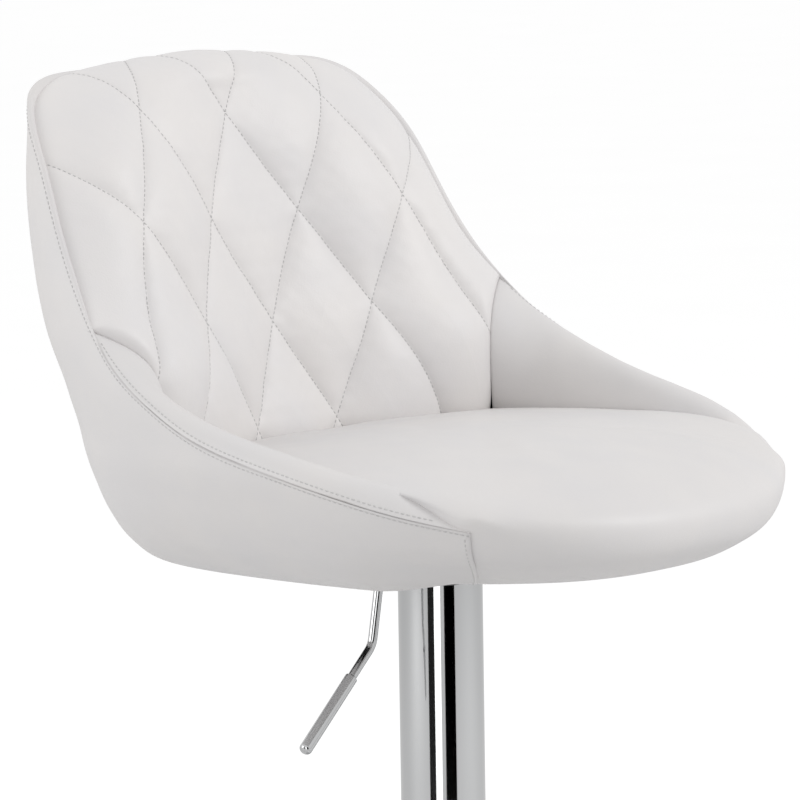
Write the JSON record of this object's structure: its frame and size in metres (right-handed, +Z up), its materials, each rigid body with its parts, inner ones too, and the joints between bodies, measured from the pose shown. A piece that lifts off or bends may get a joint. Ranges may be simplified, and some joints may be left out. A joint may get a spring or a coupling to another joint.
{
  "type": "adjustable swivel stool",
  "caption": "Bar stool with a quilted white bucket seat on a gas-lift chrome column, with a release lever, a footrest loop and a round trumpet base.",
  "frame": {"origin": "on the floor, at the centre of the base pad's underside, on the column's axis", "axes": "+Z up along the column, -Y the way the sitter faces, +X the sitter's left"},
  "size_m": [0.4723, 0.5005, 0.875],
  "materials": {
    "white_leather": "smooth white faux leather, satin",
    "quilted_leather": "quilted white faux leather, satin, with white stitching",
    "black_fabric": "non-woven black dust cloth",
    "plywood": "raw birch plywood",
    "moulded_board": "moulded shell board",
    "chrome": "bright chrome plating",
    "black_steel": "black powder coat",
    "zinc_steel": "zinc-plated steel",
    "black_plastic": "moulded black plastic",
    "cast_iron": "raw casting",
    "rubber": "soft black rubber"
  },
  "bodies": {
    "base": {"base_pad": "rubber", "base_shell": "chrome", "base_trim": "chrome", "base_hub": "black_steel", "ballast_plate": "cast_iron", "pillar_tube": "chrome", "pillar_foot": "zinc_steel", "pillar_liner": "black_plastic", "bearing_race_lower": "zinc_steel", "bearing_balls": "zinc_steel"},
    "spring_rod": {"piston_rod": "zinc_steel", "rod_clip": "zinc_steel", "bearing_race_upper": "zinc_steel"},
    "seat": {"gas_cylinder": "black_steel", "upper_tube": "chrome", "tube_bush": "black_plastic", "tube_cap": "black_plastic", "collar_front": "chrome", "collar_rear": "chrome", "collar_screws": "zinc_steel", "footrest_loop": "chrome", "seat_hub": "black_steel", "seat_plate": "black_steel", "lever_bracket": "black_steel", "lever_pin": "zinc_steel", "plate_bolts": "zinc_steel", "plate_washers": "zinc_steel", "tee_nuts": "zinc_steel", "seat_board": "plywood", "dust_cover": "black_fabric", "shell_cover": "white_leather", "back_board": "moulded_board", "quilted_back_pad": "quilted_leather", "wing_pad_left": "white_leather", "wing_pad_right": "white_leather", "seat_cushion": "white_leather"},
    "lever": {"lever_rod": "chrome", "lever_sleeve": "chrome"},
    "valve_button": {"release_button": "zinc_steel"}
  },
  "joints": [
    {"name": "seat_swivel", "type": "hinge", "parent": "base", "child": "spring_rod", "pos_m": [0, 0, 0.024], "axis": [0, 0, 1], "continuous": true},
    {"name": "seat_lift", "type": "slide", "parent": "spring_rod", "child": "seat", "axis": [0, 0, 1], "range_m": [0, 0.21]},
    {"name": "lever_pull", "type": "hinge", "parent": "seat", "child": "lever", "pos_m": [-0.027, 0, 0.5347], "axis": [0, 1, 0], "range_deg": [0, 10], "stiffness_Nm_per_rad": 2, "springref_deg": -5.73},
    {"name": "button_press", "type": "slide", "parent": "seat", "child": "valve_button", "axis": [0, 0, 1], "range_m": [-0.0048, 0], "stiffness_N_per_m": 400}
  ],
  "couplings": [
    {"joint": "button_press", "follows": "lever_pull", "m_per_rad": -0.027}
  ]
}
